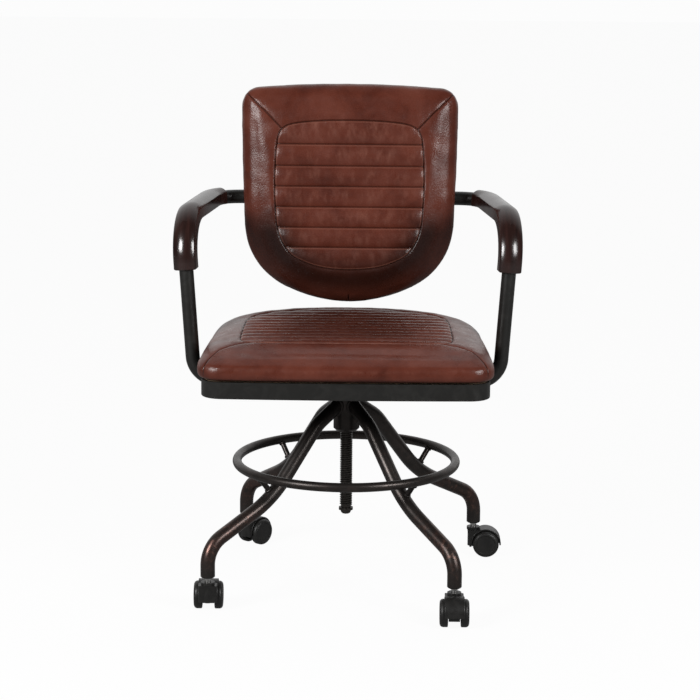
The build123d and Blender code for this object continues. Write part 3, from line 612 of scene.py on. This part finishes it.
def bake(piece):
    """Apply a piece's modifiers to its mesh."""
    bpy.context.view_layer.update()
    shown = piece.evaluated_get(bpy.context.evaluated_depsgraph_get())
    made = bpy.data.meshes.new_from_object(shown)
    piece.modifiers.clear()
    piece.data = made


def new_object(name, data):
    """An object in the scene."""
    made = bpy.data.objects.new(name, data)
    scene.collection.objects.link(made)
    return made


# Padded pieces
def soft_copy(name, node, place, panel=None, voxel=VOXEL):
    """A node's solid as an even mesh in its own frame, with any panel ironed flat."""
    mesh = nodes[node].data.copy()
    mesh.name = name
    mesh.transform(place.inverted())
    points = mesh_points(mesh)
    if panel is not None:
        top = points[:, 2].max()
        flat = is_inside(points[:, :2], panel) | (distance_to(points[:, :2], panel) < PANEL_MARGIN)
        flat &= points[:, 2] > top - PANEL_RECESS
        points[flat, 2] = top
        set_points(mesh, points)
    welded = bmesh.new()
    welded.from_mesh(mesh)
    bmesh.ops.remove_doubles(welded, verts=welded.verts, dist=WELD_GAP)
    welded.to_mesh(mesh)
    welded.free()
    piece = new_object(name, mesh)
    remesh = piece.modifiers.new("even", "REMESH")
    remesh.mode = "VOXEL"
    remesh.voxel_size = voxel
    smooth = piece.modifiers.new("smooth", "SMOOTH")
    smooth.factor = SMOOTH_SHARE
    smooth.iterations = SMOOTH_ROUNDS
    bake(piece)
    return piece


def even_out(mesh, moved, held):
    """Moves evened out over neighbouring points, with the held points left where they are."""
    edges = np.empty(len(mesh.edges) * 2, np.int32)
    mesh.edges.foreach_get("vertices", edges)
    one, other = edges.reshape(-1, 2).T
    neighbours = np.bincount(edges, minlength=len(moved))[:, None]
    free = ~held[:, None]
    for _ in range(EVEN_ROUNDS):
        total = np.zeros_like(moved)
        np.add.at(total, one, moved[other])
        np.add.at(total, other, moved[one])
        moved = free * (moved + total / neighbours) / 2
    return moved


def puff(piece, held, cap):
    """Blow a piece up as stuffed cloth, with the held points fixed and no point moved past its cap."""
    before = mesh_points(piece.data)
    group = piece.vertex_groups.new(name="held")
    group.add([int(index) for index in np.flatnonzero(held)], 1.0, "REPLACE")
    cloth = piece.modifiers.new("puff", "CLOTH")
    cloth.settings.quality = CLOTH_QUALITY
    cloth.settings.use_pressure = True
    cloth.settings.uniform_pressure_force = PRESSURE
    cloth.settings.shrink_min = TAUTNESS
    cloth.settings.bending_stiffness = STIFFNESS
    cloth.settings.vertex_group_mass = group.name
    cloth.settings.effector_weights.gravity = 0.0
    cloth.collision_settings.use_collision = False
    cloth.point_cache.frame_start = 1
    cloth.point_cache.frame_end = SIM_FRAMES
    for step in range(1, SIM_FRAMES + 1):
        scene.frame_set(step)
    bake(piece)
    scene.frame_set(1)
    moved = mesh_points(piece.data) - before
    length = np.linalg.norm(moved, axis=1)
    moved *= (np.minimum(length, cap) / np.maximum(length, NEARLY_ZERO))[:, None]
    set_points(piece.data, before + even_out(piece.data, moved, held))


def refine(piece):
    """One round of subdivision."""
    divide = piece.modifiers.new("divide", "SUBSURF")
    divide.levels = 1
    divide.render_levels = 1
    bake(piece)


def faces_front(mesh):
    """Which points face the front."""
    return mesh_normals(mesh)[:, 2] > FRONT_FACING


def in_panel(mesh, panel):
    """Which points lie inside the panel, on the front."""
    return is_inside(mesh_points(mesh)[:, :2], panel) & faces_front(mesh)


def below_channels(points, channels):
    """How far each point lies below each sewn channel."""
    return np.array(channels)[None, :] - points[:, 1][:, None]


def seam_gaps(mesh, panel, lines, channels):
    """How far each point lies from a seam and from a sewn channel."""
    points = mesh_points(mesh)
    flat = points[:, :2]
    seam_gap = np.minimum.reduce([distance_to(flat, line) for line in lines])
    seam_gap = np.minimum(seam_gap, np.where(faces_front(mesh), distance_to(flat, panel), FAR))
    channel_gap = np.abs(below_channels(points, channels)).min(1)
    return seam_gap, np.where(in_panel(mesh, panel), channel_gap, FAR)


def divide_near_seams(piece, panel, lines, channels):
    """Divide the mesh again along its seams, for their narrow folds."""
    for reach in FINE_REACHES:
        near = np.minimum(*seam_gaps(piece.data, panel, lines, channels)) < reach
        near &= mesh_points(piece.data)[:, 2] > LINING_DEPTH
        work = bmesh.new()
        work.from_mesh(piece.data)
        edges = [edge for edge in work.edges if near[edge.verts[0].index] and near[edge.verts[1].index]]
        bmesh.ops.subdivide_edges(work, edges=edges, cuts=1, use_grid_fill=True)
        work.to_mesh(piece.data)
        work.free()


def sew(piece, panel, lines, channels):
    """Press seams and channels into a cushion, pucker the leather beside them, and mark its rubbed crowns, the
    painted shade in its seams and its painted highlights.
    """
    points = mesh_points(piece.data)
    normals = mesh_normals(piece.data)
    within = in_panel(piece.data, panel)
    seam_gap, channel_gap = seam_gaps(piece.data, panel, lines, channels)
    pitch = abs(channels[1] - channels[0])
    face = np.clip((points[:, 2] - LINING_DEPTH) / LINING_DEPTH, 0.0, 1.0)
    front = SIDE_SEAM + (1.0 - SIDE_SEAM) * np.clip(FRONT_GAIN * normals[:, 2], 0.0, 1.0)

    seam = bell(seam_gap, SEAM_HALF) * face
    roll = np.exp(-seam_gap / SEAM_ROLL_REACH) * face * front
    dip = np.clip(1.0 - channel_gap / (pitch / 2), 0.0, 1.0) ** 2
    line = bell(channel_gap, SEAM_HALF)
    near = np.exp(-np.minimum(seam_gap, channel_gap) / PUCKER_REACH) * face
    rise = PUCKER * near * cloud(points * np.array(PUCKER_STRETCH), PUCKER_SCALE)
    rise += WRINKLE * face * cloud(points, WRINKLE_SCALE)
    rise -= SEAM_DEPTH * seam * front + SEAM_ROLL * roll + CHANNEL_SHARE * pitch * dip + CHANNEL_LINE * line
    set_points(piece.data, points + normals * rise[:, None])

    # Painted highlights: pale lines on the lips beside the channels and the panel's outline
    channel_lip_highlight = bell(below_channels(points, channels) - LIP_HIGHLIGHT_GAP, LIP_HIGHLIGHT_HALF).max(1)
    panel_lip_highlight = bell(distance_to(points[:, :2], panel) - LIP_HIGHLIGHT_GAP, LIP_HIGHLIGHT_HALF)
    # Rubbed crowns of the panel, and shoulders beside the seams lightened partly as painted highlight
    rub_and_highlight = within * (1.0 - dip) * PANEL_CROWN + roll * (1.0 - seam) * ROLL_RUB_AND_HIGHLIGHT
    # Painted highlight: a pale band outside the panel where the surface faces between camera and lamps
    lightened = HIGHLIGHT_BAND_SHARE * bell(normals[:, 2] - HIGHLIGHT_BAND_FACING, HIGHLIGHT_BAND_HALF) * face * ~within
    store(piece.data, "lip_highlight", within * np.maximum(channel_lip_highlight, panel_lip_highlight))
    # Dark seam lines, partly painted shade in their grooves
    store(piece.data, "seam", np.maximum(SEAM_MARK * seam, CHANNEL_MARK * line))
    store(piece.data, "rub_and_highlight", rub_and_highlight + lightened)


def height_share(points):
    """How far each point stands above the lining, from 0 to almost 1."""
    return np.clip((points[:, 2] - LINING_DEPTH) / points[:, 2].max(), 0.0, 1.0)


def settle(piece):
    """Let the rear of the seat down a little, and the roll in front of its panel more."""
    points = mesh_points(piece.data)
    raised = height_share(points)
    points[:, 2] -= SETTLE_DEPTH * raised * ease((points[:, 1] - SETTLE_FRONT) / SETTLE_RUN)
    points[:, 2] -= ROLL_DROP * raised * ease((ROLL_START - points[:, 1]) / ROLL_RUN)
    set_points(piece.data, points)


def curl(piece):
    """Turn the lower edge of the back away, most at its rim."""
    points = mesh_points(piece.data)
    inward = distance_to(points[:, :2], smooth_loop(BACK_EDGE))
    share = np.clip(1.0 - inward / CURL_REACH, 0.0, 1.0) ** 2 * ease((CURL_TOP - points[:, 1]) / CURL_RUN)
    points[:, 2] -= CURL_DEPTH * share * height_share(points)
    set_points(piece.data, points)


def stretch_and_curl(piece):
    """Give the back its full height and width, and turn its lower edge away."""
    set_points(piece.data, mesh_points(piece.data) * np.array(BACK_STRETCH))
    curl(piece)


def seat_painted_shade(points):
    """Painted shade on the seat: darker away from its front and its sides, towards the back that shades it."""
    across = ease((SEAT_SHADE_HALF - np.abs(points[:, 0])) / SEAT_SHADE_RUN)
    return SEAT_SHADE_SHARE * across * ease((points[:, 1] - SEAT_SHADE_FRONT) / SEAT_SHADE_RUN)


def back_painted_shade(points):
    """Painted shade on the back: a dark band along its lower edge, out to the rim in the middle, where it turns
    from the light.
    """
    inward = distance_to(points[:, :2], smooth_loop(BACK_EDGE))
    band = bell(inward - BACK_SHADE_INWARD, BACK_SHADE_HALF)
    middle = bell(points[:, 0], BACK_SHADE_MIDDLE_HALF) * np.exp(-inward / BACK_SHADE_HALF)
    return np.maximum(band, middle) * ease((BACK_SHADE_TOP - points[:, 1]) / BACK_SHADE_RUN)


def finish_cushion(piece, place, node, body):
    """Set a cushion in its place and say what it is."""
    piece.data.transform(place)
    piece.data.shade_smooth()
    paint(piece, "upholstery")
    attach(piece, body)
    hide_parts(node)


def cushion(name, node, place, panel_half, lines, channels, cap, painted_shade, shape):
    """A padded piece in the space of its node, given its shape and blown up between its seams."""
    panel = smooth_loop(panel_half)
    piece = soft_copy(name, node, place, panel)
    shape(piece)
    held = np.minimum(*seam_gaps(piece.data, panel, lines, channels)) < PIN_REACH
    held &= faces_front(piece.data)
    held |= mesh_points(piece.data)[:, 2] < LINING_DEPTH
    facing = np.clip(mesh_normals(piece.data)[:, 2], 0.0, 1.0)
    puff(piece, held, cap * (SIDE_SWELL + (1.0 - SIDE_SWELL) * facing))
    refine(piece)
    divide_near_seams(piece, panel, lines, channels)
    sew(piece, panel, lines, channels)
    # Painted shade where the cushion lies in shade
    store(piece.data, "painted_shade", painted_shade(mesh_points(piece.data)))
    finish_cushion(piece, place, node, "seat")


def back_frame():
    """The back's own frame: across, up the back and out of its front, from the board's rear face."""
    rail_low, rail_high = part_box("rail_joiner")
    facing = Vector((0.0, -math.cos(BACK_TILT), math.sin(BACK_TILT)))
    place = Matrix.Translation((rail_low + rail_high) / 2 + facing * BACK_STANDOFF)
    return place @ Matrix.Rotation(math.radians(90.0) - BACK_TILT, 4, "X")


def make_cushions():
    """The seat and the back."""
    pan_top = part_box("seat_pan")[1].z
    panel_front = SEAT_PANEL[0][1]
    panel_rear = SEAT_PANEL[-1][1]
    pitch = (panel_rear - panel_front) / SEAT_CHANNELS
    cushion(
        "seat_padding", "seat_cushion", Matrix.Translation((0.0, 0.0, pan_top)),
        panel_half=SEAT_PANEL, lines=both_sides(SEAT_CORNER_SEAM),
        channels=[panel_front + pitch * index for index in range(1, SEAT_CHANNELS)],
        cap=SEAT_CAP, painted_shade=seat_painted_shade, shape=settle,
    )
    cushion(
        "back_padding", "back_cushion", back_frame(),
        panel_half=BACK_PANEL, lines=both_sides(BACK_MITRE_SEAM) + [np.array(BACK_FOOT_SEAM)],
        channels=BACK_CHANNELS, cap=BACK_CAP, painted_shade=back_painted_shade, shape=stretch_and_curl,
    )


def make_rear_panel():
    """The covered panel behind the back, swelling between its edge and the saddles."""
    place = back_frame()
    piece = soft_copy("rear_panel", "back_cover", place, voxel=REAR_VOXEL)
    refine(piece)
    points = mesh_points(piece.data)
    normals = mesh_normals(piece.data)
    edge = points[np.abs(normals[:, 2]) < REAR_EDGE_FACING]
    tree = kdtree.KDTree(len(edge))
    for index, point in enumerate(edge):
        tree.insert(point, index)
    tree.balance()
    inward = np.array([tree.find(point)[2] for point in points])
    saddle_low, saddle_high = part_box("back_saddles")
    saddle_out = saddle_high.x - (saddle_high.z - saddle_low.z) / 2
    press = np.minimum.reduce(
        [np.hypot(points[:, 0] - saddle_x, points[:, 1]) for saddle_x in (-saddle_out, saddle_out)]
    )
    free = ease((press - REAR_PRESS_NEAR) / (REAR_PRESS_FAR - REAR_PRESS_NEAR))
    behind = np.clip(-normals[:, 2], 0.0, 1.0)
    rise = REAR_CROWN * (1.0 - bell(inward, REAR_EDGE)) + WRINKLE * cloud(points, REAR_WRINKLE_SCALE)
    set_points(piece.data, points + normals * (rise * free * behind)[:, None])
    finish_cushion(piece, place, "back_cover", "seat")


# Welds
def bead(name, path, radius, body, slot):
    """A closed weld bead along a path, lumpy as laid metal is."""
    count = len(path)
    points = []
    for index, centre in enumerate(path):
        along = (path[(index + 1) % count] - path[index - 1]).normalized()
        side = along.orthogonal().normalized()
        up = along.cross(side)
        for angle in turns(BEAD_SIDES):
            out = side * math.cos(angle) + up * math.sin(angle)
            lump = 1.0 + BEAD_LUMP * noise.noise((centre + out * radius) * BEAD_LUMP_SCALE)
            points.append(centre + out * radius * lump)
    faces = []
    for index in range(count):
        here = index * BEAD_SIDES
        ahead = (index + 1) % count * BEAD_SIDES
        for turn in range(BEAD_SIDES):
            beside = (turn + 1) % BEAD_SIDES
            faces.append((here + turn, here + beside, ahead + beside, ahead + turn))
    mesh = bpy.data.meshes.new(name)
    mesh.from_pydata(points, [], faces)
    mesh.shade_smooth()
    piece = new_object(name, mesh)
    paint(piece, slot)
    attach(piece, body)


def hub_bead_path(direction):
    """The line where a leg's tube meets the hub, for a leg that leaves in a direction."""
    hub_low, hub_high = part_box("hub")
    hub_radius = (hub_high.x - hub_low.x) / 2
    slope = Vector((LEG_SHOULDER_OUT, 0.0, LEG_SHOULDER_HEIGHT - LEG_HEAD_HEIGHT)).normalized()
    above = Vector((-slope.z, 0.0, slope.x))
    path = []
    for angle in turns(HUB_BEAD_STEPS):
        offset = above * (TUBE_RADIUS * math.cos(angle)) + Vector((0.0, TUBE_RADIUS * math.sin(angle), 0.0))
        reach = (math.sqrt(hub_radius ** 2 - offset.y ** 2) - offset.x) / slope.x
        point = Vector((0.0, 0.0, LEG_HEAD_HEIGHT)) + offset + slope * reach
        path.append(Matrix.Rotation(direction, 3, "Z") @ point)
    return path


def ring_path(centre, axis, radius, steps):
    """A circle about an axis."""
    side = axis.orthogonal().normalized()
    up = axis.cross(side)
    return [centre + (side * math.cos(angle) + up * math.sin(angle)) * radius for angle in turns(steps)]


def strut_ends(direction):
    """Both ends of the strut that lies in a direction, and the way it points."""
    towards = np.array((math.cos(direction), math.sin(direction)))
    points = mesh_points(nodes["ring_struts"].data)
    flat = points[:, :2]
    mine = points[flat @ towards > STRUT_SECTOR_COSINE * np.linalg.norm(flat, axis=1)]
    middle = mine.mean(0)
    along = np.linalg.svd(mine - middle)[2][0]
    reach = (mine - middle) @ along
    return middle + along * reach.min(), middle + along * reach.max(), along


def make_welds():
    """A bead round each leg at the hub and round both ends of each strut."""
    for joint in frame["joints"]:
        if not joint["name"].endswith("_swivel"):
            continue
        corner = joint["child"].removeprefix("castor_")
        direction = math.atan2(joint["pos_m"][1], joint["pos_m"][0])
        bead(f"hub_weld_{corner}", hub_bead_path(direction), HUB_BEAD, "base", "base_steel")
        low, high, along = strut_ends(direction)
        for end_name, end, inward in (("low", low, along), ("high", high, -along)):
            centre = Vector(end + inward * STRUT_BEAD)
            path = ring_path(centre, Vector(along), STRUT_RADIUS, STRUT_BEAD_STEPS)
            bead(f"strut_weld_{corner}_{end_name}", path, STRUT_BEAD, "base", "base_steel")


# Studio
def floor_material():
    """A dark floor with the object's shadow on it. The camera sees it white, and shiny pieces partly so."""
    made, tree, shader = new_material("floor_white")
    rays = add_node(tree, "ShaderNodeLightPath")
    seen = rays.outputs["Is Camera Ray"]
    connect(tree, shader.inputs["Base Color"], mix_colours(tree, seen, FLOOR_COLOUR, FLOOR_SHADE))
    shader.inputs["Roughness"].default_value = FLOOR_ROUGHNESS
    shader.inputs["Specular IOR Level"].default_value = 0.0
    glow = add_node(tree, "ShaderNodeEmission", {"Color": WHITE, "Strength": 1.0})
    shine = multiply(tree, rays.outputs["Is Glossy Ray"], FLOOR_SHINE)
    share = calculate(tree, "ADD", multiply(tree, seen, FLOOR_GLOW), shine)
    inputs = {0: share, 1: shader.outputs["BSDF"], 2: glow.outputs["Emission"]}
    mixed = add_node(tree, "ShaderNodeMixShader", inputs)
    connect(tree, tree.nodes["Material Output"].inputs["Surface"], mixed.outputs["Shader"])
    return made


def make_floor():
    """The floor, far wider than the chair."""
    half = FLOOR_SIZE / 2
    corners = [(-half, -half, 0.0), (half, -half, 0.0), (half, half, 0.0), (-half, half, 0.0)]
    mesh = bpy.data.meshes.new("floor")
    mesh.from_pydata(corners, [], [(0, 1, 2, 3)])
    mesh.materials.append(floor_material())
    new_object("floor", mesh)


def make_room():
    """The world: dim in front and bright behind, and white where the camera sees it."""
    world = bpy.data.worlds.new("studio")
    scene.world = world
    world.use_nodes = True
    tree = world.node_tree
    direction = add_node(tree, "ShaderNodeTexCoord").outputs["Generated"]
    backward = add_node(tree, "ShaderNodeVectorMath", {0: direction, 1: ROOM_TURN}, operation="DOT_PRODUCT")
    share = spread(
        tree, backward.outputs["Value"], low=ROOM_DIM, high=ROOM_BRIGHT, to_low=0.0, to_high=1.0,
    )
    room = mix_colours(tree, share, ROOM_FRONT, ROOM_BACK)
    seen = add_node(tree, "ShaderNodeLightPath").outputs["Is Camera Ray"]
    connect(tree, tree.nodes["Background"].inputs["Color"], mix_colours(tree, seen, room, BACKGROUND))


def make_lamps():
    """A soft lamp on either side in front of the chair."""
    for name, lamp in LAMPS.items():
        light = bpy.data.lights.new(name, "AREA")
        light.shape = "RECTANGLE"
        light.size, light.size_y = LAMP_SIZE
        light.energy = lamp["watts"]
        holder = new_object(name, light)
        holder.location = lamp["place"]
        holder.rotation_euler = (LAMP_AIM - lamp["place"]).to_track_quat("-Z", "Y").to_euler()


def make_camera():
    """The camera where the photograph was taken from."""
    camera = new_object("camera", bpy.data.cameras.new("camera"))
    level_away = Vector((math.sin(CAMERA_YAW), -math.cos(CAMERA_YAW), 0.0)) * math.cos(CAMERA_ELEVATION)
    away = level_away + Vector((0.0, 0.0, math.sin(CAMERA_ELEVATION)))
    upright = (-away).to_track_quat("-Z", "Y")
    camera.location = CAMERA_TARGET + away * CAMERA_DISTANCE
    camera.rotation_mode = "QUATERNION"
    camera.rotation_quaternion = upright @ Quaternion((0.0, 0.0, 1.0), CAMERA_ROLL)
    camera.data.lens = CAMERA_LENS
    scene.camera = camera
    scene.view_settings.view_transform = "Standard"


dress_nodes()
make_cushions()
make_rear_panel()
make_welds()
make_floor()
make_room()
make_lamps()
make_camera()
